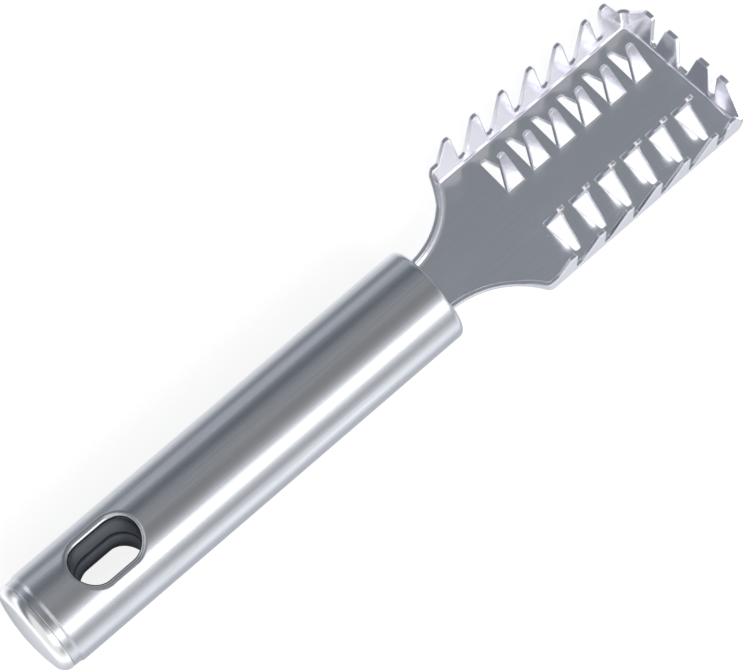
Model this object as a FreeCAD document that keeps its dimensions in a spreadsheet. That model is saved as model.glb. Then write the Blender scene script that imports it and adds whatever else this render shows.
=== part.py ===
import FreeCAD, Part
import math
import os
import re

import Sketcher
from FreeCAD import Placement, Rotation, Vector

# Fish scaler, in millimetres. The tool frame has its origin on the handle's axis where the neck
# leaves the handle, +X towards the head, +Z along the plate's normal on the toothed side.


DOC = FreeCAD.newDocument("fish_scaler")
SIZES = DOC.addObject("Spreadsheet::Sheet", "sizes")

DIMENSIONS = [
    # Head: one sheet, folded up all round
    ("sheet_gauge", 1.0),
    ("fold_half", 19.6),
    ("rim_angle", 12.5),
    ("bend_radius", 0.8),
    ("corner_radius", 2.2),
    ("head_front", 73.9),
    ("neck_half", 7.2),
    ("neck_arc", 21.3),
    ("neck_start", -4.0),
    ("neck_rim", 2.0),
    # Teeth along both sides
    ("tip_level", 10.0),
    ("first_tip", 21.95),
    ("side_pitch", 8.5),
    ("tip_width", 1.6),
    ("tooth_lean", 5.2),
    ("valley_level", 2.2),
    ("shoulder_run", 3.55),
    ("shoulder_level", 5.4),
    ("heel_run", 1.8),
    ("heel_level", 5.3),
    ("heel_drop", 4.6),
    ("last_run", 3.5),
    ("last_level", 7.7),
    ("last_step", 1.2),
    ("tip_bevel", 0.4),
    ("valley_bevel", 0.45),
    # Teeth across the front
    ("front_tip", 5.2),
    ("front_tip_width", 3.5),
    ("front_tip_shift", 0.7),
    ("front_foot", 3.65),
    ("front_valley", 1.8),
    ("outer_foot", 10.5),
    ("outer_tip_width", 2.7),
    ("web_left_level", 4.9),
    ("web_left_half", 18.7),
    ("web_right_level", 2.6),
    ("web_right_half", 19.3),
    ("corner_cut", 0.9),
    # Lanced rows
    ("row_start", 25.4),
    ("row_pitch", 7.82),
    ("row_base", 5.3),
    ("slot_length", 10.9),
    ("slot_base", 5.0),
    ("slot_end", 1.5),
    ("slot_skew", 0.45),
    ("slot_bevel", 0.3),
    ("lance_angle", 68.0),
    ("lance_skew", 2.0),
    ("lance_tip", 1.7),
    ("lance_bevel", 0.45),
    # Handle
    ("tube_radius", 12.0),
    ("tube_wall", 0.8),
    ("mouth_setback", 4.0),
    ("tube_end", 118.3),
    ("mouth_round", 1.2),
    ("mouth_lip", 1.6),
    ("shoulder_drop", 0.35),
    ("shoulder_start", 2.5),
    ("shoulder_slope", 0.8),
    ("edge_bevel", 0.2),
    # Hanging slot
    ("eye_centre", 98.0),
    ("eye_length", 17.4),
    ("eye_width", 10.8),
    ("eye_turn", 8.5),
    ("eye_wall", 0.8),
    ("eye_seam", 0.5),
    ("eye_round", 1.1),
    # End cap and mouth plug
    ("dome_radius", 44.0),
    ("dome_corner", 2.6),
    ("cap_rim", 0.4),
    ("skirt_length", 6.0),
    ("fit_gap", 0.05),
    ("plug_length", 6.0),
    ("tang_stub", 2.0),
]

for row, (alias, size) in enumerate(DIMENSIONS, 1):
    SIZES.set("A%d" % row, alias)
    SIZES.set("B%d" % row, str(size))
    SIZES.setAlias("B%d" % row, alias)
DOC.recompute()

ALIASES = re.compile("|".join(r"\b%s\b" % alias for alias, size in DIMENSIONS))

# Lengths that several features share
HALF_GAUGE = "sheet_gauge / 2"
INSET = "(sheet_gauge * (1 - sin(rim_angle)) / cos(rim_angle))"
BORE = "(tube_radius - tube_wall)"
BUTT = "(tube_radius - shoulder_drop)"
BUTT_BORE = "(tube_radius - shoulder_drop - tube_wall)"
TANG = "(mouth_setback + tube_wall + plug_length + tang_stub)"


def bound(formula):
    """Point a formula's aliases at the sheet."""
    return ALIASES.sub(lambda word: "sizes." + word.group(0), formula)


def number(formula):
    """Work out a formula's present value."""
    result = SIZES.evalExpression(formula)
    return float(getattr(result, "Value", result))


def fitting(room, pitch):
    """Count the pitches that fit in a length."""
    return int(number(room) / number(pitch) + 1e-6)


def settle(feature):
    """Recompute and stop at once if the feature failed."""
    DOC.recompute()
    if "Invalid" in feature.State or "Error" in feature.State:
        raise RuntimeError("%s did not recompute: %s" % (feature.Name, feature.State))
    if hasattr(feature, "Shape") and feature.Shape.isNull():
        raise RuntimeError("%s has no shape: %s" % (feature.Name, feature.getStatusString()))
    return feature


def origin_plane(body, role):
    """Find one of a body's own origin planes or axes."""
    return [item for item in body.Origin.OriginFeatures if item.Role == role][0]


def new_sketch(body, name, role, lift="0", turn="0"):
    """Attach a sketch to an origin plane, lifted along its normal and turned about its own X."""
    sketch = body.newObject("Sketcher::SketchObject", name)
    sketch.AttachmentSupport = [(origin_plane(body, role), "")]
    sketch.MapMode = "FlatFace"
    sketch.AttachmentOffset = Placement(Vector(0, 0, number(lift)), Rotation(Vector(1, 0, 0), number(turn)))
    sketch.setExpression("AttachmentOffset.Base.z", bound(lift))
    sketch.setExpression("AttachmentOffset.Rotation.Angle", bound(turn))
    return sketch


def bind(sketch, kind, places, formula):
    """Add one dimension whose value follows a formula."""
    index = sketch.addConstraint(Sketcher.Constraint(kind, *places, number(formula)))
    sketch.setExpression("Constraints[%d]" % index, bound(formula))


def draw_loop(sketch, corners, arcs=None):
    """Draw a closed loop through corners given as pairs of formulas.

    arcs maps the number of a side to the formulas of its radius and its centre.
    """
    arcs = arcs or {}
    spots = [Vector(number(along), number(up), 0) for along, up in corners]
    first = sketch.GeometryCount
    ends = []
    for side, start in enumerate(spots):
        stop = spots[(side + 1) % len(spots)]
        if side not in arcs:
            sketch.addGeometry(Part.LineSegment(start, stop))
            ends.append((1, 2))
            continue
        radius, along, up = arcs[side]
        centre = Vector(number(along), number(up), 0)
        start_angle = math.atan2(start.y - centre.y, start.x - centre.x)
        stop_angle = math.atan2(stop.y - centre.y, stop.x - centre.x)
        circle = Part.Circle(centre, Vector(0, 0, 1), number(radius))
        if (stop_angle - start_angle) % (2 * math.pi) < math.pi:
            sketch.addGeometry(Part.ArcOfCircle(circle, start_angle, stop_angle))
            ends.append((1, 2))
        else:
            sketch.addGeometry(Part.ArcOfCircle(circle, stop_angle, start_angle))
            ends.append((2, 1))
    for side in range(len(spots)):
        follower = (side + 1) % len(spots)
        sketch.addConstraint(
            Sketcher.Constraint("Coincident", first + side, ends[side][1], first + follower, ends[follower][0])
        )
    for side, (along, up) in enumerate(corners):
        bind(sketch, "DistanceX", (-1, 1, first + side, ends[side][0]), along)
        bind(sketch, "DistanceY", (-1, 1, first + side, ends[side][0]), up)
    for side, (radius, along, up) in arcs.items():
        bind(sketch, "Radius", (first + side,), radius)
    DOC.recompute()
    return sketch


def draw_obround(sketch, centre, length, width):
    """Draw a slot outline that lies along the sketch's X, its middle at minus centre."""
    half = "((%s) / 2 - (%s) / 2)" % (length, width)
    radius = "((%s) / 2)" % width
    back = "-(%s) - %s" % (centre, half)
    front = "-(%s) + %s" % (centre, half)
    first = sketch.GeometryCount
    quarter = math.pi / 2
    tall = number(radius)
    fore = Vector(number(front), 0, 0)
    aft = Vector(number(back), 0, 0)
    rise = Vector(0, tall, 0)
    sketch.addGeometry(Part.LineSegment(aft - rise, fore - rise))
    sketch.addGeometry(Part.ArcOfCircle(Part.Circle(fore, Vector(0, 0, 1), tall), -quarter, quarter))
    sketch.addGeometry(Part.LineSegment(fore + rise, aft + rise))
    sketch.addGeometry(Part.ArcOfCircle(Part.Circle(aft, Vector(0, 0, 1), tall), quarter, 3 * quarter))
    for side in range(4):
        sketch.addConstraint(Sketcher.Constraint("Coincident", first + side, 2, first + (side + 1) % 4, 1))
    for side, place in ((1, front), (3, back)):
        bind(sketch, "DistanceX", (-1, 1, first + side, 3), place)
        bind(sketch, "DistanceY", (-1, 1, first + side, 3), "0")
        bind(sketch, "Radius", (first + side,), radius)
        sketch.addConstraint(Sketcher.Constraint("Vertical", first + side, 1, first + side, 3))
        sketch.addConstraint(Sketcher.Constraint("Vertical", first + side, 2, first + side, 3))
    DOC.recompute()
    return sketch


def extrude(body, kind, name, sketch, length, side="One side", reverse=False):
    """Pad or pocket a sketch by a formula's length."""
    before = body.Shape.Volume if body.Tip and not body.Shape.isNull() else 0.0
    feature = body.newObject("PartDesign::" + kind, name)
    feature.Profile = sketch
    feature.SideType = side
    feature.Reversed = reverse
    feature.setExpression("Length", bound(length))
    settle(feature)
    after = feature.Shape.Volume
    if kind == "Pocket" and after > before - 0.01:
        raise RuntimeError("%s cut nothing" % name)
    return feature


def revolve(body, kind, name, sketch):
    """Turn a sketch right round the body's X axis."""
    before = body.Shape.Volume if body.Tip and not body.Shape.isNull() else 0.0
    feature = body.newObject("PartDesign::" + kind, name)
    feature.Profile = sketch
    feature.ReferenceAxis = (origin_plane(body, "X_Axis"), [""])
    feature.Angle = 360
    settle(feature)
    if kind == "Groove" and feature.Shape.Volume > before - 0.01:
        raise RuntimeError("%s cut nothing" % name)
    return feature


def ease_edges(body, kind, name, base, size, wanted, expected=None):
    """Fillet or chamfer every edge of base that passes a test."""
    names = ["Edge%d" % spot for spot, edge in enumerate(base.Shape.Edges, 1) if wanted(edge)]
    if not names:
        raise RuntimeError("%s found no edges" % name)
    if expected is not None and len(names) != expected:
        print(name, "found", len(names), "edges, expected", expected)
    feature = body.newObject("PartDesign::" + kind, name)
    feature.Base = (base, names)
    feature.setExpression("Radius" if kind == "Fillet" else "Size", bound(size))
    return settle(feature)


def lean_out(body, name, base, angle):
    """Lean a block's upright sides outwards from its underside, all but the one at its rear end."""
    rear = base.Shape.BoundBox.XMin
    sides = []
    foot = None
    for spot, face in enumerate(base.Shape.Faces, 1):
        box = face.BoundBox
        if box.ZLength > 1 and box.XMax > rear + 0.01:
            sides.append("Face%d" % spot)
        if box.ZMax < base.Shape.BoundBox.ZMin + 0.01:
            foot = "Face%d" % spot
    feature = body.newObject("PartDesign::Draft", name)
    feature.Base = (base, sides)
    feature.NeutralPlane = (base, [foot])
    feature.Reversed = True
    feature.setExpression("Angle", bound(angle))
    settle(feature)
    if feature.Shape.Volume < base.Shape.Volume:
        raise RuntimeError("%s leans inwards" % name)
    return feature


def runs_along(edge, direction):
    """Tell whether a straight edge runs along a direction."""
    if edge.Curve.TypeId != "Part::GeomLine":
        return False
    return abs(edge.Curve.Direction.dot(direction)) > 0.999


def spot_of(edge):
    """Give the middle of an edge."""
    return edge.valueAt((edge.FirstParameter + edge.LastParameter) / 2)


# Tray: an outer and an inner block with leaning sides, one cut from the other, leave an even sheet


def tray_block(name, level, inset, height, corner, bend, rear):
    """Make one block with leaning sides, rounded corners and a rounded underside."""
    body = DOC.addObject("PartDesign::Body", name)
    half_neck = "neck_half - %s" % inset
    half_fold = "fold_half - %s" % inset
    arc = "neck_arc + %s" % inset
    middle = "neck_start"
    rise = "(neck_half + neck_arc - (%s))" % half_fold
    meet = "neck_start + sqrt((%s) * (%s) - %s * %s)" % (arc, arc, rise, rise)
    front = "head_front - %s" % inset
    centre_up = "neck_half + neck_arc"
    corners = [
        (rear, "-(%s)" % half_neck),
        (middle, "-(%s)" % half_neck),
        (meet, "-(%s)" % half_fold),
        (front, "-(%s)" % half_fold),
        (front, half_fold),
        (meet, half_fold),
        (middle, half_neck),
        (rear, half_neck),
    ]
    arcs = {1: (arc, middle, "-(%s)" % centre_up), 5: (arc, middle, centre_up)}
    sketch = draw_loop(new_sketch(body, name + "_outline", "XY_Plane", level), corners, arcs)
    block = extrude(body, "Pad", name + "_pad", sketch, height)
    block = lean_out(body, name + "_lean", block, "rim_angle")
    throat = number(meet)

    def upright(edge):
        box = edge.BoundBox
        return box.ZLength > 5 and box.YLength < 6 and spot_of(edge).x > throat - 3

    block = ease_edges(body, "Fillet", name + "_corners", block, corner, upright, 4)
    floor = number(level)

    def underside(edge):
        return edge.BoundBox.ZMax < floor + 0.001 and spot_of(edge).x > number(rear) + 0.01

    ease_edges(body, "Fillet", name + "_bend", block, bend, underside)
    return body


tray = tray_block(
    "tray",
    "-" + HALF_GAUGE,
    "0",
    "tip_level + " + HALF_GAUGE,
    "corner_radius",
    "bend_radius + sheet_gauge",
    "-" + TANG,
)
hollow = tray_block(
    "hollow",
    HALF_GAUGE,
    INSET,
    "tip_level + 2",
    "corner_radius - sheet_gauge",
    "bend_radius",
    "-%s - 2" % TANG,
)
shell = tray.newObject("PartDesign::Boolean", "shell")
shell.Type = "Cut"
shell.addObject(hollow)
settle(shell)

# The rim's outline seen from the side: low along the neck, then a saw edge with upright fronts

cut_at = "head_front - corner_cut"
last = cut_at + " - 2.2"
first_rear = "first_tip - tip_width / 2"
side_rim = [
    ("-%s - 6" % TANG, "neck_rim"),
    (first_rear + " - shoulder_run - heel_run - heel_drop", "neck_rim"),
    (first_rear + " - shoulder_run - heel_run", "heel_level"),
    (first_rear + " - shoulder_run", "shoulder_level"),
]
for tooth in range(1 + fitting(last + " - last_run - tip_width / 2 - first_tip", "side_pitch")):
    tip = "first_tip + %d * side_pitch" % tooth
    if tooth:
        side_rim.append((tip + " - tip_width / 2 - tooth_lean", "valley_level"))
    side_rim.append((tip + " - tip_width / 2", "tip_level"))
    side_rim.append((tip + " + tip_width / 2", "tip_level"))
    side_rim.append((tip + " + tip_width / 2", "valley_level"))
side_rim.append((last + " - last_run", "valley_level"))
side_rim.append((last + " - last_run + 0.7", "last_level"))
side_rim.append((last + " - last_run + 0.7 + last_step", "tip_level"))
side_rim.append((last, "tip_level"))
side_rim.append((cut_at, "web_left_level"))
side_rim.append((cut_at, "tip_level + 2"))
side_rim.append(("-%s - 6" % TANG, "tip_level + 2"))
side_sketch = draw_loop(new_sketch(tray, "side_rim", "XZ_Plane"), side_rim)
teeth = extrude(tray, "Pocket", "side_teeth", side_sketch, "fold_half * 4", side="Symmetric")

# The rim's outline seen from the front: four broad teeth between two corner webs

inner_foot = "front_tip - front_foot"
inner_far = "front_tip + front_foot"
left_tip = "front_tip - front_tip_shift"
right_tip = "front_tip + front_tip_shift"
front_rim = [
    ("fold_half + 6", "tip_level + 2"),
    ("fold_half + 6", "web_left_level"),
    ("web_left_half", "web_left_level"),
    ("outer_foot + 0.2 + outer_tip_width", "tip_level"),
    ("outer_foot + 0.2", "tip_level"),
    ("outer_foot", "front_valley"),
    (inner_far, "front_valley"),
    (left_tip + " + front_tip_width / 2", "tip_level"),
    (left_tip + " - front_tip_width / 2", "tip_level"),
    (inner_foot, "front_valley"),
    ("-(%s)" % inner_foot, "front_valley"),
    ("-(%s) + front_tip_width / 2" % right_tip, "tip_level"),
    ("-(%s) - front_tip_width / 2" % right_tip, "tip_level"),
    ("-(%s)" % inner_far, "front_valley"),
    ("-outer_foot", "front_valley"),
    ("-outer_foot - 0.2", "tip_level"),
    ("-outer_foot - 0.2 - outer_tip_width", "tip_level"),
    ("-web_right_half", "web_right_level"),
    ("-fold_half - 6", "web_right_level"),
    ("-fold_half - 6", "tip_level + 2"),
]
front_sketch = draw_loop(new_sketch(tray, "front_rim", "YZ_Plane", cut_at), front_rim)
teeth = extrude(tray, "Pocket", "front_teeth", front_sketch, "10", reverse=True)

ALONG = Vector(1, 0, 0)
ACROSS = Vector(0, 1, 0)
UPRIGHT = Vector(0, 0, 1)


def side_tip(edge):
    """Pick the two corners of each side tooth's tip."""
    middle = spot_of(edge)
    high = abs(middle.z - number("tip_level")) < 0.01
    return high and runs_along(edge, ACROSS) and middle.x < number(cut_at) + 0.01


def front_tip(edge):
    """Pick the two corners of each front tooth's tip."""
    middle = spot_of(edge)
    high = abs(middle.z - number("tip_level")) < 0.01
    return high and runs_along(edge, ALONG) and middle.x > number(cut_at) + 0.5


def side_valley(edge):
    """Pick the two corners of each side valley's floor."""
    middle = spot_of(edge)
    low = abs(middle.z - number("valley_level")) < 0.01
    return low and runs_along(edge, ACROSS) and middle.x > number("first_tip")


def front_valley(edge):
    """Pick the corners of the front valleys' floors."""
    middle = spot_of(edge)
    low = abs(middle.z - number("front_valley")) < 0.01
    return low and runs_along(edge, ALONG) and middle.x > number(cut_at) + 0.1


teeth = ease_edges(tray, "Chamfer", "side_tips", teeth, "tip_bevel", side_tip)
teeth = ease_edges(tray, "Chamfer", "front_tips", teeth, "tip_bevel", front_tip)
teeth = ease_edges(tray, "Chamfer", "side_valleys", teeth, "valley_bevel", side_valley)
teeth = ease_edges(tray, "Chamfer", "front_valleys", teeth, "valley_bevel", front_valley)

# Slots that the lanced teeth leave behind

lanced_teeth = 1 + fitting("head_front - sheet_gauge - bend_radius - slot_base - row_start", "row_pitch")
slots = new_sketch(tray, "slots", "XY_Plane", "-sheet_gauge")
for side in ("", "-"):
    for spot in range(lanced_teeth):
        start = "row_start + %d * row_pitch" % spot
        near = side + "(row_base)"
        far = side + "(row_base + slot_length)"
        draw_loop(
            slots,
            [
                (start, near),
                (start + " + slot_base", near),
                (start + " + slot_skew + slot_end", far),
                (start + " + slot_skew", far),
            ],
        )
pierced = extrude(tray, "Pocket", "lanced_slots", slots, "sheet_gauge * 2", reverse=True)


def slot_far_corner(edge):
    """Pick the upright edges at the outer ends of the slots."""
    middle = spot_of(edge)
    far = abs(abs(middle.y) - number("row_base + slot_length")) < 0.01
    return far and runs_along(edge, UPRIGHT) and number("row_start") - 1 < middle.x < number("head_front") - 2


ease_edges(tray, "Chamfer", "slot_corners", pierced, "slot_bevel", slot_far_corner, 4 * lanced_teeth)

# Lanced teeth: one bent strip per side, cut to a comb

comb = DOC.addObject("PartDesign::Body", "comb")
turn_y = "sin(lance_angle)"
turn_z = "cos(lance_angle)"
inner_bend = "bend_radius"
outer_bend = "(bend_radius + sheet_gauge)"
bend_level = "(%s + bend_radius)" % HALF_GAUGE
leg = "(slot_length - (bend_radius + %s) * lance_angle * pi / 180)" % HALF_GAUGE
inner_y = "row_base + %s * %s" % (inner_bend, turn_y)
inner_z = "%s - %s * %s" % (bend_level, inner_bend, turn_z)
outer_y = "row_base + %s * %s" % (outer_bend, turn_y)
outer_z = "%s - %s * %s" % (bend_level, outer_bend, turn_z)
reach_y = "%s * %s" % (leg, turn_z)
reach_z = "%s * %s" % (leg, turn_y)
strip = [
    ("row_base - 0.6", HALF_GAUGE),
    ("row_base", HALF_GAUGE),
    (inner_y, inner_z),
    (inner_y + " + " + reach_y, inner_z + " + " + reach_z),
    (outer_y + " + " + reach_y, outer_z + " + " + reach_z),
    (outer_y, outer_z),
    ("row_base", "-" + HALF_GAUGE),
    ("row_base - 0.6", "-" + HALF_GAUGE),
]
strip_arcs = {1: (inner_bend, "row_base", bend_level), 5: (outer_bend, "row_base", bend_level)}
strip_sketch = draw_loop(new_sketch(comb, "strip", "YZ_Plane", "row_start"), strip, strip_arcs)
row_length = "%d * row_pitch + slot_base" % (lanced_teeth - 1)
bent = extrude(comb, "Pad", "bent_strip", strip_sketch, row_length)

top = "(%s + %s)" % (inner_z, reach_z)
comb_line = [("row_start - 1", HALF_GAUGE)]
for spot in range(lanced_teeth):
    start = "row_start + %d * row_pitch" % spot
    comb_line.append((start, HALF_GAUGE))
    comb_line.append((start + " + lance_skew", top))
    comb_line.append((start + " + lance_skew + lance_tip", top))
    comb_line.append((start + " + slot_base", HALF_GAUGE))
comb_line.append(("row_start + %s + 1" % row_length, HALF_GAUGE))
comb_line.append(("row_start + %s + 1" % row_length, top + " + 2"))
comb_line.append(("row_start - 1", top + " + 2"))
comb_sketch = draw_loop(new_sketch(comb, "comb_line", "XZ_Plane"), comb_line)
combed = extrude(comb, "Pocket", "comb_gaps", comb_sketch, "fold_half * 4", side="Symmetric")


def lance_tip_corner(edge):
    """Pick the short edges across the sheet at the lanced teeth's tips."""
    middle = spot_of(edge)
    box = edge.BoundBox
    return box.XLength < 0.3 and middle.z > number(top) - 0.6 and box.YLength > 0.3


ease_edges(comb, "Chamfer", "lanced_tips", combed, "lance_bevel", lance_tip_corner, 2 * lanced_teeth)

mirrored = DOC.addObject("Part::Mirroring", "comb_mirrored")
mirrored.Source = comb
mirrored.Base = Vector(0, 0, 0)
mirrored.Normal = ACROSS
settle(mirrored)

head = DOC.addObject("Part::MultiFuse", "head")
head.Shapes = [tray, comb, mirrored]
head.Refine = True
settle(head)

# Handle: a drawn tube with its mouth turned in and a slight shoulder at the butt

tube = DOC.addObject("PartDesign::Body", "tube")
mouth = "-mouth_setback"
mouth_centre = "-mouth_setback - mouth_round"
lip_radius = "(tube_radius - mouth_lip)"
fillet_level = "(tube_radius - mouth_round)"
wall_profile = [
    ("-tube_end", BUTT_BORE),
    ("-tube_end", BUTT + " - edge_bevel"),
    ("-tube_end + edge_bevel", BUTT),
    ("-tube_end + shoulder_start - shoulder_slope", BUTT),
    ("-tube_end + shoulder_start", "tube_radius"),
    (mouth_centre, "tube_radius"),
    (mouth_centre + " + mouth_round * 0.5", fillet_level + " + mouth_round * 0.866"),
    (mouth_centre + " + mouth_round * 0.866", fillet_level + " + mouth_round * 0.5"),
    (mouth, fillet_level),
    (mouth, lip_radius),
    (mouth + " - tube_wall", lip_radius),
    (mouth + " - tube_wall", BORE),
    ("-tube_end + shoulder_start", BORE),
    ("-tube_end + shoulder_start - shoulder_slope", BUTT_BORE),
]
wall_sketch = draw_loop(new_sketch(tube, "wall", "XY_Plane"), wall_profile)
revolve(tube, "Revolution", "barrel", wall_sketch)

# Hanging slot: lips turned in from both walls, which nearly meet half way

lips = new_sketch(tube, "lips", "XY_Plane", turn="eye_turn")
draw_obround(lips, "eye_centre", "eye_length + 2 * eye_wall", "eye_width + 2 * eye_wall")
sleeve = extrude(tube, "Pad", "lip_block", lips, "tube_radius * 2.4", side="Symmetric")
waste = new_sketch(tube, "waste", "XY_Plane")
draw_loop(
    waste,
    [
        ("-eye_centre - eye_length", "tube_radius"),
        ("-eye_centre + eye_length", "tube_radius"),
        ("-eye_centre + eye_length", "tube_radius * 1.6"),
        ("-eye_centre - eye_length", "tube_radius * 1.6"),
    ],
)
revolve(tube, "Groove", "lip_trim", waste)
seam = new_sketch(tube, "seam", "XY_Plane", turn="eye_turn")
draw_obround(seam, "eye_centre", "eye_length + 2 * eye_wall + 0.4", "eye_width + 2 * eye_wall + 0.4")
extrude(tube, "Pocket", "lip_seam", seam, "eye_seam", side="Symmetric")
throat = new_sketch(tube, "throat", "XY_Plane", turn="eye_turn")
draw_obround(throat, "eye_centre", "eye_length", "eye_width")
opened = extrude(tube, "Pocket", "hanging_slot", throat, "tube_radius * 2.6", side="Symmetric")
lean = math.radians(number("eye_turn"))
eye_up = Vector(0, -math.sin(lean), math.cos(lean))
eye_over = Vector(0, math.cos(lean), math.sin(lean))


def eye_edge(edge):
    """Pick the slot's mouth on the outside of the tube, on both walls."""
    middle = spot_of(edge)
    out = middle - ALONG * middle.x
    on_skin = abs(out.Length - number("tube_radius")) < 0.01
    near = abs(middle.x + number("eye_centre")) < number("eye_length") / 2 + 0.01
    inside = abs(out.dot(eye_over)) < number("eye_width") / 2 + 0.01
    return on_skin and near and inside


ease_edges(tube, "Fillet", "eye_rounding", opened, "eye_round", eye_edge)

# End cap: a shallow crown that bears on the tube's end, with a skirt inside it

cap = DOC.addObject("PartDesign::Body", "cap")
corner_level = "(%s - dome_corner)" % BUTT
dome_run = "(dome_radius - dome_corner)"
corner_x = "(-tube_end - cap_rim)"
pole = "(%s - dome_radius + sqrt(%s * %s - %s * %s))" % (corner_x, dome_run, dome_run, corner_level, corner_level)
touch_x = "(%s + dome_radius - (%s + dome_radius - %s) * dome_radius / %s)" % (pole, pole, corner_x, dome_run)
touch_y = "(%s * dome_radius / %s)" % (corner_level, dome_run)
shoulder = [
    ("(%s - dome_corner * cos(%s))" % (corner_x, turn), "(%s + dome_corner * sin(%s))" % (corner_level, turn))
    for turn in ("36", "63")
]
skirt = "(%s - fit_gap)" % BUTT_BORE
skirt_bore = "(%s - tube_wall)" % skirt
cap_profile = [
    (pole, "0"),
    (touch_x, touch_y),
    shoulder[0],
    shoulder[1],
    (corner_x, BUTT),
    ("-tube_end - edge_bevel", BUTT),
    ("-tube_end", BUTT + " - edge_bevel"),
    ("-tube_end", skirt),
    ("-tube_end + skirt_length", skirt),
    ("-tube_end + skirt_length", skirt_bore),
    (corner_x, skirt_bore),
    (corner_x, "0"),
]
cap_sketch = draw_loop(new_sketch(cap, "dome", "XY_Plane"), cap_profile)
revolve(cap, "Revolution", "dome_turned", cap_sketch)

# Mouth plug: fills the mouth behind the lip and grips the tang

plug = DOC.addObject("PartDesign::Body", "plug")
plug_radius = "(%s - fit_gap)" % BORE
plug_front = "-mouth_setback - tube_wall"
plug_profile = [
    (plug_front + " - plug_length", "0"),
    (plug_front + " - plug_length", plug_radius),
    (plug_front, plug_radius),
    (plug_front, "0"),
]
plug_sketch = draw_loop(new_sketch(plug, "plug_half", "XY_Plane"), plug_profile)
revolve(plug, "Revolution", "plug_turned", plug_sketch)
tang_half = "(neck_half + (neck_rim + %s) * tan(rim_angle) + fit_gap)" % HALF_GAUGE
tang_slot = [
    ("-" + tang_half, "-" + HALF_GAUGE),
    (tang_half, "-" + HALF_GAUGE),
    (tang_half, "neck_rim + fit_gap"),
    ("-" + tang_half, "neck_rim + fit_gap"),
]
tang_sketch = draw_loop(new_sketch(plug, "tang_slot", "YZ_Plane", plug_front + " - plug_length - 1"), tang_slot)
extrude(plug, "Pocket", "tang_way", tang_sketch, "plug_length + 3", reverse=True)

# Rest: the tool lies on the handle and on one folded edge of the head, both on the floor

outer_round = number("bend_radius + sheet_gauge")
slope = math.radians(number("rim_angle"))
fold_y = number("fold_half") - outer_round * (1 - math.sin(slope)) / math.cos(slope)
fold_z = number("bend_radius") + number(HALF_GAUGE)
radius = number("tube_radius")
roll = math.atan2(fold_z, fold_y) + math.asin((radius - outer_round) / math.hypot(fold_y, fold_z))
rolled = Placement(Vector(0, 0, radius), Rotation(ALONG, -math.degrees(roll)))

NODES = [("scaler_head", head), ("handle_tube", tube), ("end_cap", cap), ("mouth_plug", plug)]

boxes = []
for label, part in NODES:
    part.Label = label
    part.Placement = rolled
DOC.recompute()
for label, part in NODES:
    boxes.append(part.Shape.optimalBoundingBox())
shift_x = -(min(box.XMin for box in boxes) + max(box.XMax for box in boxes)) / 2
shift_y = -(min(box.YMin for box in boxes) + max(box.YMax for box in boxes)) / 2
rest = Placement(Vector(shift_x, shift_y, radius), rolled.Rotation)
for label, part in NODES:
    part.Placement = rest
DOC.recompute()
print("rest roll %.4f shift %.4f %.4f" % (math.degrees(roll), shift_x, shift_y))

for item in DOC.Objects:
    if "Invalid" in item.State or "Error" in item.State:
        raise RuntimeError("%s is in state %s" % (item.Name, item.State))

os.makedirs("parts", exist_ok=True)
for label, part in NODES:
    shape = part.Shape
    if shape.isNull() or not shape.isValid():
        raise RuntimeError("%s is not a valid shape" % label)
    box = shape.optimalBoundingBox()
    print(
        "%s: %d solid, %d faces, %.1f mm3, x %.2f..%.2f y %.2f..%.2f z %.2f..%.2f"
        % (
            label,
            len(shape.Solids),
            len(shape.Faces),
            shape.Volume,
            box.XMin,
            box.XMax,
            box.YMin,
            box.YMax,
            box.ZMin,
            box.ZMax,
        )
    )
    shape.exportStep("parts/%s.step" % label)
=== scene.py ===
"""Looks of a stainless steel fish scaler that lies on a pale floor.

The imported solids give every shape. This script dresses them in polished steel, sets the floor, the
soft studio light and the camera.
"""

from __future__ import annotations

import logging
import math
from dataclasses import dataclass
from enum import Enum
from typing import ClassVar, Union

import bmesh
import bpy
from mathutils import Matrix, Vector


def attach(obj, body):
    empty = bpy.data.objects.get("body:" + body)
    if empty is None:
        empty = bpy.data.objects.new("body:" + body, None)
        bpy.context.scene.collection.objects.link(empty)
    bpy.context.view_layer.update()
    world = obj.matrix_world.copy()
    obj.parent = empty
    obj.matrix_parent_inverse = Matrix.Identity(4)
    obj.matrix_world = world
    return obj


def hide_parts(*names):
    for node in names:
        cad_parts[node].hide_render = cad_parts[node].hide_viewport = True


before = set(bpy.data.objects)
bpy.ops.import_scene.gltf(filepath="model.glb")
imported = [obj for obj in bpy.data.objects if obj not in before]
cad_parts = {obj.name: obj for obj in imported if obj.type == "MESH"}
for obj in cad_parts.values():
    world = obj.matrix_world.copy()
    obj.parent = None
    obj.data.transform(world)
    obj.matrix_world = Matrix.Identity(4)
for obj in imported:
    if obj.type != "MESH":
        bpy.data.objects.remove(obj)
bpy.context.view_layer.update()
LOG = logging.getLogger("fish_scaler")
Triple = tuple[float, float, float]
Span = tuple[float, float]
Feed = Union[bpy.types.NodeSocket, float, Triple]

MILLIMETRES = 1000.0
HANDLE_RADIUS_MM = 12.0
# Colour towards which edges are lightened, a painted highlight
PAINTED_EDGE_HIGHLIGHT = (0.86, 0.87, 0.89)
INSIDE_ROUGHNESS = 0.12


class Lay(Enum):
    """Which way the polishing lines of a piece run."""

    ALONG = "along the tool"
    AROUND = "around the handle"


@dataclass(frozen=True)
class ToolAxis:
    """Where the tool's own axis lies in the row frame, and how far the tool is rolled about it."""

    y: float = -0.004075
    z: float = 0.012
    roll: float = math.radians(38.1779)


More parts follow.
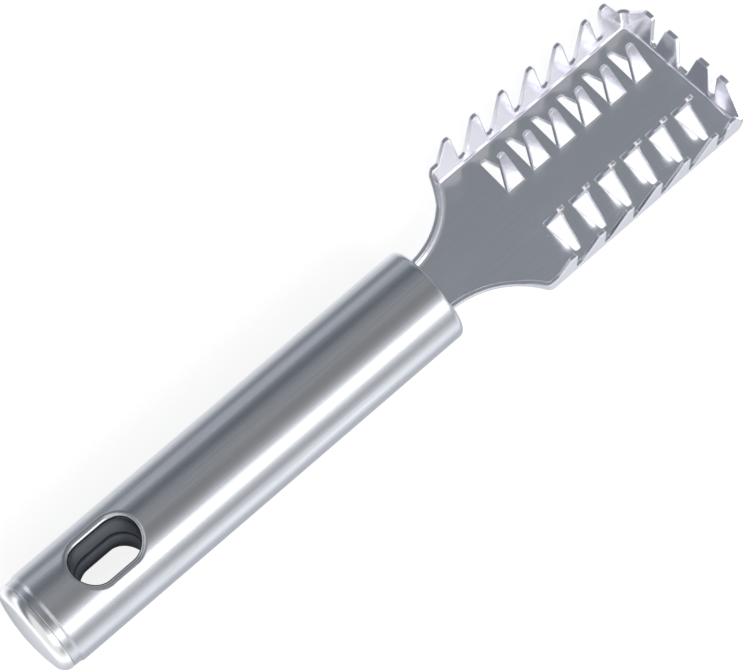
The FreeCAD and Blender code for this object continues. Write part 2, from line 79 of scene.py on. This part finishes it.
@dataclass(frozen=True)
class SteelFinish:
    """One finish of stainless steel, from its colour down to its finest scratches."""

    name: str
    colour: Triple
    worn_colour: Triple
    roughness: float
    roughness_spread: float
    lay: Lay
    line_depth: float
    line_contrast: float
    edge_radius: float
    # How far edges are lightened towards a pale colour, a painted highlight
    edge_painted_highlight: float
    smudge: float
    scratches: float
    # Reach in millimetres below which the steel is rougher and painted with shade; 0 leaves this out
    dull_and_shaded_below: float = 0.0

    def material(self, parts: "SteelParts") -> bpy.types.Material:
        """Builds the material of this finish.

        Args:
            parts: The node groups that all steel finishes share.

        Returns:
            A procedural material.
        """
        made = bpy.data.materials.new(self.name)
        made.use_nodes = True
        graph = Graph(made.node_tree)
        graph.clear()
        places = graph.group(parts.places)
        vector = places.outputs["Flat" if self.lay is Lay.ALONG else "Round"]
        lines = graph.group(parts.lines, Vector=vector)
        marks = graph.group(parts.marks, Vector=places.outputs["Flat"])
        edges = graph.group(parts.edges, Radius=self.edge_radius)

        worn = graph.scaled(lines.outputs["Streaks"], self.line_contrast)
        colour = graph.mix(worn, self.colour, self.worn_colour)
        # Edges lightened towards a pale colour: a painted highlight
        painted_highlight = graph.scaled(edges.outputs["Edge"], self.edge_painted_highlight)
        colour = graph.mix(painted_highlight, colour, PAINTED_EDGE_HIGHLIGHT)
        streaks = lines.outputs["Streaks"]
        rough = graph.math("MULTIPLY_ADD", streaks, self.roughness_spread, self.roughness)
        rough = graph.math("MULTIPLY_ADD", marks.outputs["Smudges"], self.smudge, rough)
        rough = graph.math("MULTIPLY_ADD", marks.outputs["Scratches"], self.scratches, rough)
        # Inside the tube the steel is rougher and takes the colour of painted shade
        if self.dull_and_shaded_below:
            inside = graph.group(parts.inside, Reach=self.dull_and_shaded_below)
            colour = graph.mix(inside.outputs["Inside"], colour, inside.outputs["Painted Shade Colour"])
            rough = graph.math("MULTIPLY_ADD", inside.outputs["Inside"], INSIDE_ROUGHNESS, rough)

        bump = graph.add("ShaderNodeBump")
        bump.inputs["Strength"].default_value = 1.0
        bump.inputs["Distance"].default_value = self.line_depth
        cut = marks.outputs["Scratches"]
        height = graph.math("MULTIPLY_ADD", cut, -0.5, lines.outputs["Lines"])
        graph.link(height, bump.inputs["Height"])
        graph.link(edges.outputs["Normal"], bump.inputs["Normal"])

        shader = graph.add("ShaderNodeBsdfPrincipled")
        shader.inputs["Metallic"].default_value = 1.0
        shader.inputs["Specular IOR Level"].default_value = 0.5
        graph.link(colour, shader.inputs["Base Color"])
        graph.link(rough, shader.inputs["Roughness"])
        graph.link(bump.outputs["Normal"], shader.inputs["Normal"])
        graph.link(shader.outputs["BSDF"], graph.add("ShaderNodeOutputMaterial").inputs["Surface"])
        return made


class Graph:
    """Builds one node tree, node by node."""

    def __init__(self, tree: bpy.types.NodeTree) -> None:
        """Starts on a tree that exists."""
        self.tree = tree
        self.column = 0

    def clear(self) -> None:
        """Takes every node out of the tree."""
        self.tree.nodes.clear()

    def add(self, kind: str, **settings: object) -> bpy.types.Node:
        """Adds one node.

        Args:
            kind: The node's type name.
            **settings: Attributes to set on the node.

        Returns:
            The new node.
        """
        node = self.tree.nodes.new(kind)
        node.location = (self.column * 190.0, -(self.column % 4) * 170.0)
        self.column += 1
        for name, value in settings.items():
            setattr(node, name, value)
        return node

    def link(self, source: Feed, target: bpy.types.NodeSocket) -> None:
        """Feeds a socket from another socket, or sets it to a number, a vector or a colour.

        Args:
            source: An output socket, or a plain value.
            target: The input socket.
        """
        if isinstance(source, bpy.types.NodeSocket):
            self.tree.links.new(source, target)
        elif isinstance(source, tuple) and target.type == "RGBA":
            target.default_value = (*source, 1.0)[:4]
        else:
            target.default_value = source

    def math(self, operation: str, *values: Feed, clamp: bool = False) -> bpy.types.NodeSocket:
        """Adds a Math node.

        Args:
            operation: The node's operation.
            *values: Its inputs in order, sockets or numbers.
            clamp: True keeps the result within 0 and 1.

        Returns:
            The result's socket.
        """
        node = self.add("ShaderNodeMath", operation=operation, use_clamp=clamp)
        for value, target in zip(values, node.inputs):
            self.link(value, target)
        return node.outputs[0]

    def scaled(self, value: Feed, amount: float) -> bpy.types.NodeSocket:
        """A value times a number, kept within 0 and 1."""
        return self.math("MULTIPLY", value, amount, clamp=True)

    def mix(self, factor: Feed, first: Feed, second: Feed) -> bpy.types.NodeSocket:
        """Mixes two colours.

        Args:
            factor: 0 gives the first colour, 1 the second.
            first: A socket or a colour.
            second: A socket or a colour.

        Returns:
            The mixed colour's socket.
        """
        node = self.add("ShaderNodeMix", data_type="RGBA", blend_type="MIX")
        self.link(factor, node.inputs[0])
        self.link(first, node.inputs[6])
        self.link(second, node.inputs[7])
        return node.outputs[2]

    def remap(
        self, value: Feed, low: float, high: float, smooth: bool = True
    ) -> bpy.types.NodeSocket:
        """Stretches a value so that low becomes 0 and high becomes 1.

        Args:
            value: The socket to stretch.
            low: The value that becomes 0.
            high: The value that becomes 1.
            smooth: True eases both ends.

        Returns:
            The stretched value's socket.
        """
        kind = "SMOOTHSTEP" if smooth else "LINEAR"
        node = self.add("ShaderNodeMapRange", interpolation_type=kind)
        self.link(value, node.inputs["Value"])
        node.inputs["From Min"].default_value = low
        node.inputs["From Max"].default_value = high
        return node.outputs["Result"]

    def noise(
        self, vector: Feed, detail: float, scale: float = 1.0, rough: float = 0.5
    ) -> bpy.types.NodeSocket:
        """Noise as a value about 0.5.

        Args:
            vector: Where the noise is read.
            detail: Octaves.
            scale: Its frequency.
            rough: How much each finer octave counts.

        Returns:
            The noise's socket.
        """
        node = self.add("ShaderNodeTexNoise")
        self.link(vector, node.inputs["Vector"])
        node.inputs["Scale"].default_value = scale
        node.inputs["Detail"].default_value = detail
        node.inputs["Roughness"].default_value = rough
        return node.outputs["Fac"]

    def product(self, first: Feed, second: Feed) -> bpy.types.NodeSocket:
        """One value times another."""
        return self.math("MULTIPLY", first, second)

    def strip(self, value: Feed, rise: Span, fall: Span) -> bpy.types.NodeSocket:
        """A mask that is 1 between a soft rise and a soft fall.

        Args:
            value: The socket to test.
            rise: Where the mask starts to rise, and where it is full.
            fall: Where the mask starts to fall, and where it is gone.

        Returns:
            The mask's socket.
        """
        before_fall = self.math("SUBTRACT", 1.0, self.remap(value, *fall))
        return self.product(before_fall, self.remap(value, *rise))

    def stretched(self, vector: Feed, scale: Triple) -> bpy.types.NodeSocket:
        """Scales each part of a vector on its own.

        Args:
            vector: The vector's socket.
            scale: One factor for each part.

        Returns:
            The scaled vector's socket.
        """
        node = self.add("ShaderNodeVectorMath", operation="MULTIPLY")
        self.link(vector, node.inputs[0])
        node.inputs[1].default_value = scale
        return node.outputs[0]

    def parts_of(self, vector: Feed) -> list[bpy.types.NodeSocket]:
        """Splits a vector.

        Args:
            vector: The vector's socket.

        Returns:
            The sockets of x, y and z.
        """
        split = self.add("ShaderNodeSeparateXYZ")
        self.link(vector, split.inputs[0])
        return list(split.outputs)

    def group(self, tree: bpy.types.NodeTree, **inputs: Feed) -> bpy.types.Node:
        """Places a node group.

        Args:
            tree: The group's tree.
            **inputs: Its inputs by name, sockets or values.

        Returns:
            The group node.
        """
        node = self.add("ShaderNodeGroup", node_tree=tree, label=tree.name)
        for name, value in inputs.items():
            self.link(value, node.inputs[name])
        return node


@dataclass(frozen=True)
class SteelParts:
    """The node groups that every steel finish is put together from."""

    places: bpy.types.NodeTree
    lines: bpy.types.NodeTree
    marks: bpy.types.NodeTree
    edges: bpy.types.NodeTree
    inside: bpy.types.NodeTree

    # How densely each pattern repeats along and across the lay, per millimetre
    FINE_LINES: ClassVar[Triple] = (0.12, 9.0, 9.0)
    LONG_LINES: ClassVar[Triple] = (0.035, 2.6, 2.6)
    BROAD_STREAKS: ClassVar[Triple] = (0.02, 0.55, 0.55)
    SMUDGES: ClassVar[Triple] = (0.06, 0.1, 0.1)
    # The noise that wobbles the edges of the painted shade inside the tube, per millimetre
    PAINTED_SHADE_CLOUDS: ClassVar[Triple] = (0.25, 0.25, 1.2)
    # Scratches in three directions, each as its turn and its density
    SCRATCHES: ClassVar[tuple[Span, ...]] = ((0.35, 0.30), (-0.8, 0.22), (1.25, 0.26))
    SCRATCH_SLENDERNESS: ClassVar[float] = 0.16
    SCRATCH_WIDTH: ClassVar[float] = 0.012
    # Painted shade on the walls inside the slot, each as its place and its level, from the lower lip past
    # the seam to the upper lip
    PAINTED_WALL_SHADE: ClassVar[tuple[Span, ...]] = (
        (0.05, 0.03), (0.22, 0.06), (0.32, 0.22), (0.45, 0.30), (0.475, 0.04), (0.515, 0.04),
        (0.54, 0.20), (0.80, 0.26), (0.88, 0.12), (0.95, 0.08),
    )
    # The bluish tint of the painted shade, and the painted shade at the upper lip
    PAINTED_SHADE_TINT: ClassVar[Triple] = (0.90, 0.97, 1.12)
    LIP_PAINTED_SHADE: ClassVar[Triple] = (0.3, 0.31, 0.33)

    @classmethod
    def build(cls, axis: ToolAxis) -> "SteelParts":
        """Builds the groups.

        Args:
            axis: Where the tool's axis lies.

        Returns:
            The five groups.
        """
        places = cls._places(axis)
        return cls(places, cls._lines(), cls._marks(), cls._edges(), cls._inside(places))

    @staticmethod
    def _start(
        name: str, ins: dict[str, str], outs: dict[str, str]
    ) -> tuple[Graph, bpy.types.Node, bpy.types.Node]:
        """Opens a new group.

        Args:
            name: The group's name.
            ins: Its inputs, name to socket type.
            outs: Its outputs, name to socket type.

        Returns:
            The graph, the group's input node and its output node.
        """
        tree = bpy.data.node_groups.new(name, "ShaderNodeTree")
        for label, kind in ins.items():
            tree.interface.new_socket(label, in_out="INPUT", socket_type="NodeSocket" + kind)
        for label, kind in outs.items():
            tree.interface.new_socket(label, in_out="OUTPUT", socket_type="NodeSocket" + kind)
        graph = Graph(tree)
        return graph, graph.add("NodeGroupInput"), graph.add("NodeGroupOutput")

    @classmethod
    def _places(cls, axis: ToolAxis) -> bpy.types.NodeTree:
        """Where a point lies on the tool, flat for the sheet and unrolled for the tube.

        Args:
            axis: Where the tool's axis lies.

        Returns:
            The group, with places in millimetres.
        """
        graph, _, out = cls._start("places on the tool", {}, {"Flat": "Vector", "Round": "Vector"})
        spot = graph.add("ShaderNodeTexCoord").outputs["Object"]
        turn = graph.add("ShaderNodeMapping", vector_type="TEXTURE")
        graph.link(spot, turn.inputs["Vector"])
        turn.inputs["Location"].default_value = (0.0, axis.y, axis.z)
        turn.inputs["Rotation"].default_value = (-axis.roll, 0.0, 0.0)
        flat = graph.stretched(turn.outputs["Vector"], (MILLIMETRES,) * 3)
        x, y, z = graph.parts_of(flat)
        angle = graph.math("ARCTAN2", y, z)
        reach = graph.math("SQRT", graph.math("ADD", graph.product(y, y), graph.product(z, z)))
        join = graph.add("ShaderNodeCombineXYZ")
        graph.link(x, join.inputs[0])
        graph.link(graph.product(angle, HANDLE_RADIUS_MM), join.inputs[1])
        graph.link(reach, join.inputs[2])
        graph.link(flat, out.inputs["Flat"])
        graph.link(join.outputs[0], out.inputs["Round"])
        return graph.tree

    @classmethod
    def _lines(cls) -> bpy.types.NodeTree:
        """Fine polishing lines that run along X, and the broader streaks between them.

        Returns:
            The group, with the lines' height and the streaks' mask.
        """
        graph, into, out = cls._start(
            "polishing lines", {"Vector": "Vector"}, {"Lines": "Float", "Streaks": "Float"}
        )
        place = into.outputs["Vector"]
        fine = graph.noise(graph.stretched(place, cls.FINE_LINES), 3.0, rough=0.6)
        long = graph.noise(graph.stretched(place, cls.LONG_LINES), 2.0)
        broad = graph.noise(graph.stretched(place, cls.BROAD_STREAKS), 2.0)
        lines = graph.math("MULTIPLY_ADD", fine, 0.7, graph.product(long, 0.3))
        streaks = graph.math("MULTIPLY_ADD", long, 0.6, graph.product(broad, 0.4))
        graph.link(lines, out.inputs["Lines"])
        graph.link(graph.remap(streaks, 0.36, 0.64), out.inputs["Streaks"])
        return graph.tree

    @classmethod
    def _marks(cls) -> bpy.types.NodeTree:
        """Soft smudges of handling and sparse thin scratches.

        Returns:
            The group, with a mask for each.
        """
        graph, into, out = cls._start(
            "handling marks", {"Vector": "Vector"}, {"Smudges": "Float", "Scratches": "Float"}
        )
        place = into.outputs["Vector"]
        cloud = graph.noise(graph.stretched(place, cls.SMUDGES), 4.0, rough=0.55)
        graph.link(graph.remap(cloud, 0.46, 0.72), out.inputs["Smudges"])
        scratch: Feed = 0.0
        for turn, density in cls.SCRATCHES:
            spun = graph.add("ShaderNodeVectorRotate", rotation_type="Z_AXIS")
            graph.link(place, spun.inputs["Vector"])
            spun.inputs["Angle"].default_value = turn
            cells = graph.add("ShaderNodeTexVoronoi", feature="DISTANCE_TO_EDGE")
            long = graph.stretched(spun.outputs[0], (density * cls.SCRATCH_SLENDERNESS, density, density))
            graph.link(long, cells.inputs["Vector"])
            cells.inputs["Scale"].default_value = 1.0
            wide = graph.remap(cells.outputs["Distance"], 0.0, cls.SCRATCH_WIDTH)
            thin = graph.math("SUBTRACT", 1.0, wide)
            gate = graph.remap(graph.noise(spun.outputs[0], 2.0, scale=0.11), 0.52, 0.66)
            scratch = graph.math("MULTIPLY_ADD", thin, gate, scratch, clamp=True)
        graph.link(scratch, out.inputs["Scratches"])
        return graph.tree

    @classmethod
    def _edges(cls) -> bpy.types.NodeTree:
        """Edges that the polishing wheel has rounded, with a painted highlight that lightens their colour.

        Returns:
            The group, with the mask of the painted edge highlight and the rounded normal.
        """
        graph, into, out = cls._start(
            "rounded edges with painted highlight", {"Radius": "Float"}, {"Edge": "Float", "Normal": "Vector"}
        )
        bevel = graph.add("ShaderNodeBevel", samples=6)
        graph.link(into.outputs["Radius"], bevel.inputs["Radius"])
        face = graph.add("ShaderNodeNewGeometry").outputs["Normal"]
        agree = graph.add("ShaderNodeVectorMath", operation="DOT_PRODUCT")
        graph.link(bevel.outputs["Normal"], agree.inputs[0])
        graph.link(face, agree.inputs[1])
        edge = graph.math("SUBTRACT", 1.0, agree.outputs["Value"])
        graph.link(graph.remap(edge, 0.02, 0.22), out.inputs["Edge"])
        graph.link(bevel.outputs["Normal"], out.inputs["Normal"])
        return graph.tree

    @classmethod
    def _inside(cls, places: bpy.types.NodeTree) -> bpy.types.NodeTree:
        """The unpolished walls inside the tube: rougher, and dark with painted shade at the lips and the
        seam.

        Args:
            places: The group that says where a point lies on the tool.

        Returns:
            The group, with its mask and the colour of its painted shade.
        """
        graph, into, out = cls._start(
            "rougher inside with painted shade", {"Reach": "Float"}, {"Inside": "Float", "Painted Shade Colour": "Color"}
        )
        spots = graph.group(places)
        reach = graph.parts_of(spots.outputs["Round"])[2]
        depth = graph.math("SUBTRACT", into.outputs["Reach"], reach)
        height = graph.parts_of(spots.outputs["Flat"])[2]
        level = graph.remap(height, -HANDLE_RADIUS_MM, HANDLE_RADIUS_MM, smooth=False)
        cloud = graph.noise(graph.stretched(spots.outputs["Flat"], cls.PAINTED_SHADE_CLOUDS), 3.0)
        level = graph.math("MULTIPLY_ADD", graph.math("SUBTRACT", cloud, 0.5), 0.05, level)
        # A ramp of painted shade up the walls, darkest near the lips and at the seam
        ramp = graph.add("ShaderNodeValToRGB")
        stops = ramp.color_ramp.elements
        stops[1].position = 1.0
        for number, (place, shade) in enumerate(cls.PAINTED_WALL_SHADE):
            stop = stops[0] if number == 0 else stops.new(place)
            stop.position = place
            stop.color = (*(shade * tint for tint in cls.PAINTED_SHADE_TINT), 1.0)
        stops[len(stops) - 1].color = (*cls.LIP_PAINTED_SHADE, 1.0)
        graph.link(level, ramp.inputs["Fac"])
        graph.link(graph.remap(depth, 0.0, 0.35), out.inputs["Inside"])
        graph.link(ramp.outputs["Color"], out.inputs["Painted Shade Colour"])
        return graph.tree


@dataclass
class ScalerHead:
    """The stamped sheet with its teeth, from the rim to the tang in the handle."""

    sheet: str = "scaler_head"
    finish: SteelFinish = SteelFinish(
        name="polished sheet steel",
        # Lighter than the tube's steel: painted light that brightens the sheet's reflections
        colour=(0.95, 0.945, 0.985),
        worn_colour=(0.885, 0.88, 0.92),
        roughness=0.14,
        roughness_spread=0.05,
        lay=Lay.ALONG,
        line_depth=0.000004,
        line_contrast=0.7,
        edge_radius=0.00042,
        edge_painted_highlight=0.5,
        smudge=0.06,
        scratches=0.07,
    )

    def dress(self, parts: SteelParts) -> None:
        """Puts the sheet in its finish.

        Args:
            parts: The shared node groups.
        """
        put_on(self.sheet, self.finish.material(parts))


@dataclass
class ButtCap:
    """The pressed cap, turned finer than its solid: a shallow dome, a round corner and a skirt."""

    stands_for: str = "end_cap"
    axis: ToolAxis = ToolAxis()
    seat: float = -0.0952633
    rim: float = 0.0004
    outer: float = 0.01165
    corner: float = 0.0026
    dome: float = 0.044
    bevel: float = 0.0002
    skirt: float = 0.0108
    skirt_wall: float = 0.0008
    skirt_length: float = 0.006
    sides: int = 160
    dome_steps: int = 24
    corner_steps: int = 16

    @property
    def corner_x(self) -> float:
        """Where the round corner ends and the rim starts."""
        return self.seat - self.rim

    @property
    def centre_x(self) -> float:
        """Where the dome has its centre, so that it runs smoothly into the round corner."""
        run, level = self.dome - self.corner, self.outer - self.corner
        return self.corner_x + math.sqrt(run * run - level * level)

    def profile(self) -> list[Span]:
        """Works out half of the cap's section.

        Returns:
            Points as (x, distance from the axis), from the pole round to the inside of the crown.
        """
        level = self.outer - self.corner
        touch = math.asin(level / (self.dome - self.corner))
        points = []
        for step in range(1, self.dome_steps + 1):
            turn = touch * step / self.dome_steps
            points.append((self.centre_x - self.dome * math.cos(turn), self.dome * math.sin(turn)))
        for step in range(1, self.corner_steps + 1):
            turn = touch + (math.pi / 2 - touch) * step / self.corner_steps
            reach = level + self.corner * math.sin(turn)
            points.append((self.corner_x - self.corner * math.cos(turn), reach))
        broken = self.bevel * 0.3
        inner = self.skirt - self.skirt_wall
        points += [
            (self.seat - self.bevel, self.outer),
            (self.seat - broken, self.outer - broken),
            (self.seat, self.outer - self.bevel),
            (self.seat, self.skirt),
            (self.seat + self.skirt_length, self.skirt),
            (self.seat + self.skirt_length, inner),
            (self.corner_x, inner),
        ]
        return points

    def build(self, steel: bpy.types.Material) -> bpy.types.Object:
        """Turns the section round the tool's axis.

        Args:
            steel: What the cap is made of.

        Returns:
            The cap's object.
        """
        section = self.profile()
        mesh = bpy.data.meshes.new("butt_cap")
        shape = bmesh.new()
        pole = shape.verts.new((self.centre_x - self.dome, self.axis.y, self.axis.z))
        hub = shape.verts.new((self.corner_x, self.axis.y, self.axis.z))
        rings = []
        for number in range(self.sides):
            turn = 2 * math.pi * number / self.sides
            side, up = math.cos(turn), math.sin(turn)
            ring = [(x, self.axis.y + reach * side, self.axis.z + reach * up) for x, reach in section]
            rings.append([shape.verts.new(point) for point in ring])
        for number, ring in enumerate(rings):
            after = rings[(number + 1) % self.sides]
            shape.faces.new((pole, after[0], ring[0]))
            for low in range(len(section) - 1):
                shape.faces.new((ring[low], after[low], after[low + 1], ring[low + 1]))
            shape.faces.new((ring[-1], after[-1], hub))
        bmesh.ops.recalc_face_normals(shape, faces=shape.faces)
        for face in shape.faces:
            face.smooth = True
        shape.to_mesh(mesh)
        shape.free()
        mesh.set_sharp_from_angle(angle=math.radians(30.0))
        mesh.materials.append(steel)
        cap = bpy.data.objects.new("butt_cap", mesh)
        bpy.context.scene.collection.objects.link(cap)
        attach(cap, "root")
        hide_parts(self.stands_for)
        LOG.info("butt_cap stands for %s with %d faces", self.stands_for, len(mesh.polygons))
        return cap


@dataclass
class Handle:
    """The tube, the cap in its butt and the plug in its mouth."""

    tube: str = "handle_tube"
    cap: str = "end_cap"
    plug: str = "mouth_plug"
    tube_finish: SteelFinish = SteelFinish(
        name="polished tube steel",
        colour=(0.61, 0.62, 0.65),
        worn_colour=(0.54, 0.55, 0.58),
        roughness=0.17,
        roughness_spread=0.06,
        lay=Lay.AROUND,
        line_depth=0.000005,
        line_contrast=0.8,
        edge_radius=0.00045,
        edge_painted_highlight=0.25,
        smudge=0.06,
        scratches=0.035,
        # Inside the tube, below this reach, the steel is rougher and painted with shade
        dull_and_shaded_below=10.9,
    )
    cap_finish: SteelFinish = SteelFinish(
        name="polished cap steel",
        # Lighter than the tube's steel: painted light that brightens the cap's reflections
        colour=(0.84, 0.84, 0.84),
        worn_colour=(0.79, 0.79, 0.79),
        roughness=0.16,
        roughness_spread=0.04,
        lay=Lay.ALONG,
        line_depth=0.000003,
        line_contrast=0.5,
        edge_radius=0.0004,
        edge_painted_highlight=0.5,
        smudge=0.05,
        scratches=0.1,
    )
    plug_finish: SteelFinish = SteelFinish(
        name="turned plug steel",
        colour=(0.50, 0.51, 0.53),
        worn_colour=(0.42, 0.43, 0.45),
        roughness=0.32,
        roughness_spread=0.1,
        lay=Lay.ALONG,
        line_depth=0.00001,
        line_contrast=1.0,
        edge_radius=0.0002,
        edge_painted_highlight=0.4,
        smudge=0.05,
        scratches=0.05,
    )

    def dress(self, parts: SteelParts) -> None:
        """Puts the three pieces in their finishes.

        Args:
            parts: The shared node groups.
        """
        put_on(self.tube, self.tube_finish.material(parts))
        steel = self.cap_finish.material(parts)
        put_on(self.cap, steel)
        ButtCap().build(steel)
        put_on(self.plug, self.plug_finish.material(parts))


@dataclass
class Studio:
    """The floor, the sky of grey and white boards, and the long soft lamp."""

    floor_side: float = 4.0
    floor_drop: float = 0.00005
    floor_roughness: float = 0.85
    floor_colour: Triple = (0.74, 0.76, 0.80)
    # The grey of the strip of painted shade that only mirror images show
    painted_shade_colour: Triple = (0.42, 0.445, 0.49)
    evened_colour: Triple = (0.27, 0.27, 0.273)
    camera_glow: float = 0.84
    # How strongly the floor glows as painted light in mirror images
    painted_mirror_light: float = 0.70
    # Where the floor glows with painted light that only mirror images show: its lamp side, its butt end and
    # a strip at the foot
    painted_light_lamp_side: Span = (0.030, 0.10)
    painted_light_butt_end: Span = (0.098, 0.135)
    painted_light_foot_rise: Span = (0.004, 0.010)
    painted_light_foot_fall: Span = (0.010, 0.026)
    # Where a strip of painted shade lies on the floor, grey in mirror images only
    painted_shade_rise: Span = (0.021, 0.028)
    painted_shade_fall: Span = (0.038, 0.058)
    lamp_angle: float = math.radians(-33.0)
    lamp_reach: float = 1.1
    lamp_width: float = 0.46
    lamp_length: float = 1.6
    lamp_power: float = 3.2
    end_board: float = 0.95
    end_rise: Span = (0.2, 0.5)
    end_fall: Span = (0.7, 1.05)
    # How cool the boards are: red against blue at the first angle, and at the last
    cool_angles: Span = (30.0, 75.0)
    cool_red: Span = (0.965, 0.815)
    # The boards round the tool, each as its angle from straight up, in degrees, and its level
    boards: tuple[Span, ...] = (
        (-180.0, 0.8), (-90.0, 1.25), (-80.0, 0.95), (-70.0, 0.55), (-62.0, 0.60), (-52.0, 0.95),
        (-44.0, 1.05), (-24.0, 1.05), (-17.0, 0.95), (-11.0, 0.74), (-6.0, 0.56), (-2.0, 0.43),
        (3.0, 0.38), (12.0, 0.32), (21.0, 0.35), (32.0, 0.42), (49.0, 0.42), (59.0, 0.34),
        (66.0, 0.25), (74.0, 0.21), (84.0, 0.34), (92.0, 0.50), (110.0, 0.55), (180.0, 0.8),
    )

    def build(self) -> None:
        """Lays the floor, hangs the lamp and paints the sky."""
        self._floor()
        self._lamp()
        self._sky()

    def _floor(self) -> None:
        """Lays a pale sheet that keeps the tool's shadow, with painted light and a strip of painted shade
        that only mirrors show.
        """
        half = self.floor_side / 2
        mesh = bpy.data.meshes.new("floor")
        corners = [(-half, -half, 0.0), (half, -half, 0.0), (half, half, 0.0), (-half, half, 0.0)]
        mesh.from_pydata(corners, [], [(0, 1, 2, 3)])
        floor = bpy.data.objects.new("floor", mesh)
        bpy.context.scene.collection.objects.link(floor)
        floor.location.z = -self.floor_drop
        paint = bpy.data.materials.new("pale floor")
        paint.use_nodes = True
        graph = Graph(paint.node_tree)
        graph.clear()
        rays = graph.add("ShaderNodeLightPath")
        seen = rays.outputs["Is Camera Ray"]
        mirrored = graph.math("MAXIMUM", rays.outputs["Is Glossy Ray"], rays.outputs["Is Transmission Ray"])
        x, y, _ = graph.parts_of(graph.add("ShaderNodeTexCoord").outputs["Object"])
        # Painted light on the floor at its lamp side, its butt end and its foot, which only mirror images
        # show
        painted_light_lamp_side = graph.remap(graph.product(y, -1.0), *self.painted_light_lamp_side)
        painted_light_butt_end = graph.remap(graph.product(x, -1.0), *self.painted_light_butt_end)
        foot = graph.strip(y, self.painted_light_foot_rise, self.painted_light_foot_fall)
        painted_light = graph.math("MAXIMUM", graph.math("MAXIMUM", painted_light_lamp_side, painted_light_butt_end), foot)
        # A strip of painted shade on the floor, which only mirror images show
        painted_shade = graph.product(graph.strip(y, self.painted_shade_rise, self.painted_shade_fall), mirrored)
        glow_and_painted_light = graph.product(mirrored, graph.product(painted_light, self.painted_mirror_light))
        glow_and_painted_light = graph.math("MULTIPLY_ADD", seen, self.camera_glow, glow_and_painted_light)
        shader = graph.add("ShaderNodeBsdfPrincipled")
        around = graph.mix(painted_shade, self.floor_colour, self.painted_shade_colour)
        graph.link(graph.mix(seen, around, self.evened_colour), shader.inputs["Base Color"])
        shader.inputs["Roughness"].default_value = self.floor_roughness
        shader.inputs["Specular IOR Level"].default_value = 0.1
        graph.link((1.0, 1.0, 1.0), shader.inputs["Emission Color"])
        graph.link(glow_and_painted_light, shader.inputs["Emission Strength"])
        graph.link(shader.outputs["BSDF"], graph.add("ShaderNodeOutputMaterial").inputs["Surface"])
        mesh.materials.append(paint)

    def _lamp(self) -> None:
        """Hangs a long soft lamp beside the tool, whose mirror image is the handle's white band."""
        light = bpy.data.lights.new("long soft lamp", "AREA")
        light.shape = "RECTANGLE"
        light.size = self.lamp_length
        light.size_y = self.lamp_width
        light.energy = self.lamp_power
        lamp = bpy.data.objects.new("long soft lamp", light)
        bpy.context.scene.collection.objects.link(lamp)
        way = Vector((0.0, math.sin(self.lamp_angle), math.cos(self.lamp_angle)))
        lamp.location = way * self.lamp_reach
        across = Vector((1.0, 0.0, 0.0))
        up = way.cross(across).normalized()
        turned = Matrix((across, up, way)).transposed()
        lamp.rotation_euler = turned.to_euler()

    def _sky(self) -> None:
        """Stands boards round the table, each as bright as the stripe that it gives the handle."""
        world = bpy.data.worlds.new("studio boards")
        bpy.context.scene.world = world
        world.use_nodes = True
        graph = Graph(world.node_tree)
        graph.clear()
        x, y, z = graph.parts_of(graph.add("ShaderNodeTexCoord").outputs["Generated"])
        angle = graph.math("ARCTAN2", y, z)
        turn = graph.remap(angle, -math.pi, math.pi, smooth=False)
        ramp = graph.add("ShaderNodeValToRGB")
        stops = ramp.color_ramp.elements
        while len(stops) > 1:
            stops.remove(stops[-1])
        top = max(level for _, level in self.boards)
        first, last = self.cool_angles
        for number, (degrees, level) in enumerate(self.boards):
            place = (degrees + 180.0) / 360.0
            stop = stops[0] if number == 0 else stops.new(place)
            stop.position = place
            shade = level / top
            share = min(1.0, max(0.0, (degrees - first) / (last - first)))
            red = self.cool_red[0] + (self.cool_red[1] - self.cool_red[0]) * share
            stop.color = (shade * red, shade * (1.0 + red) / 2, shade, 1.0)
        graph.link(turn, ramp.inputs["Fac"])
        behind = graph.remap(graph.product(x, -1.0), *self.end_rise)
        near = graph.math("SUBTRACT", 1.0, graph.remap(angle, *self.end_fall))
        ends = graph.product(behind, near)
        both = graph.mix(ends, ramp.outputs["Color"], (self.end_board / top,) * 3)
        ground = graph.add("ShaderNodeBackground")
        graph.link(both, ground.inputs["Color"])
        ground.inputs["Strength"].default_value = top
        graph.link(ground.outputs[0], graph.add("ShaderNodeOutputWorld").inputs["Surface"])


@dataclass
class ProductCamera:
    """The camera at the angle that the product picture was taken from."""

    eye: Triple = (-0.182534, 0.180517, 0.891374)
    right: Triple = (0.745689, -0.606368, 0.276164)
    up: Triple = (0.638101, 0.769199, -0.034065)
    back: Triple = (-0.191769, 0.201623, 0.960507)
    lens: float = 198.36
    shift: Span = (0.04338, 0.04242)

    def build(self) -> None:
        """Makes the camera and gives it to the scene."""
        data = bpy.data.cameras.new("product camera")
        data.sensor_width = 36.0
        data.lens = self.lens
        data.shift_x, data.shift_y = self.shift
        data.clip_start, data.clip_end = 0.01, 20.0
        camera = bpy.data.objects.new("product camera", data)
        bpy.context.scene.collection.objects.link(camera)
        turned = Matrix((self.right, self.up, self.back)).transposed().to_4x4()
        camera.matrix_world = Matrix.Translation(self.eye) @ turned
        bpy.context.scene.camera = camera


def put_on(node: str, material: bpy.types.Material) -> None:
    """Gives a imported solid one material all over.

    Args:
        node: The solid's name.
        material: What it wears.
    """
    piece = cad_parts[node]
    for number in range(len(piece.material_slots)):
        piece.material_slots[number].link = "OBJECT"
        piece.material_slots[number].material = material
    LOG.info("%s wears %s", node, material.name)


def main() -> None:
    """Builds the scene in order."""
    logging.basicConfig(level=logging.INFO, format="%(name)s: %(message)s")
    bpy.context.scene.view_settings.view_transform = "Standard"
    ProductCamera().build()
    Studio().build()
    parts = SteelParts.build(ToolAxis())
    ScalerHead().dress(parts)
    Handle().dress(parts)


if __name__ == "__main__":
    main()
